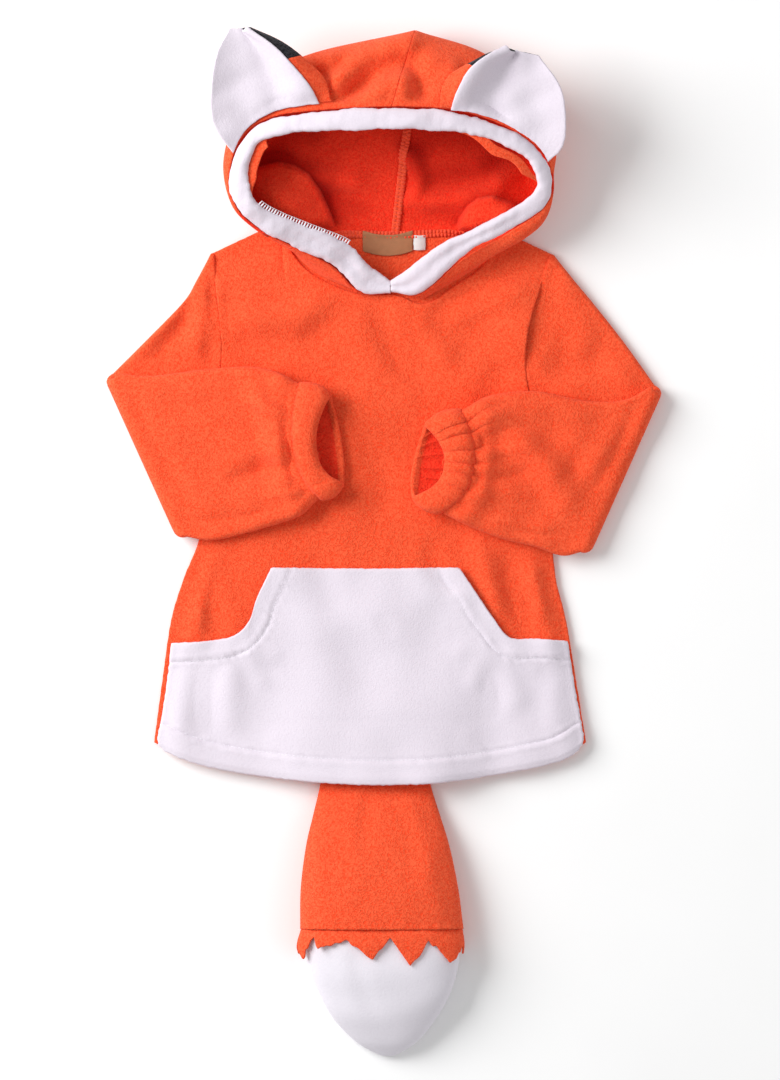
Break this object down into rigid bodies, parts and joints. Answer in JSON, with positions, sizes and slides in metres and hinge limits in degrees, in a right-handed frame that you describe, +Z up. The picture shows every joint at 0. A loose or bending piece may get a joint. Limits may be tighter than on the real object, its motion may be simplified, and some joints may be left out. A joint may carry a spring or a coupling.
{
  "type": "child's fox costume hooded pullover, laid flat",
  "caption": "Child's fleece fox hoodie lying flat, sleeves folded in, with an eared hood held open, a white pouch pocket, gathered cuffs and a stuffed tail.",
  "frame": {"origin": "on the surface that the garment lies on, under the centre of its outline", "axes": "+X towards the wearer's left, +Y from the tail to the hood, +Z up out of the front"},
  "size_m": [0.4719, 0.8719, 0.0792],
  "materials": {
    "fleece_orange": "matt pebbled polar fleece, vivid orange",
    "plush_white": "short soft plush, cool white",
    "fleece_black": "matt black fleece",
    "tape_brown": "smooth woven tape, mid brown, blank",
    "tape_white": "smooth white satin tape, blank"
  },
  "bodies": {
    "root": {"back": "fleece_orange", "front": "fleece_orange", "pocket": "plush_white", "sleeve_right": "fleece_orange", "sleeve_left": "fleece_orange", "cuff_right": "fleece_orange", "cuff_left": "fleece_orange", "hood_right": "fleece_orange", "hood_left": "fleece_orange", "hood_band": "plush_white", "ear_right_inner": "plush_white", "ear_right_outer": "fleece_orange", "ear_right_tip": "fleece_black", "ear_left_inner": "plush_white", "ear_left_outer": "fleece_orange", "ear_left_tip": "fleece_black", "tail_body": "fleece_orange", "tail_teeth": "fleece_orange", "tail_tip": "plush_white", "label": "tape_brown", "size_tab": "tape_white"}
  },
  "joints": []
}
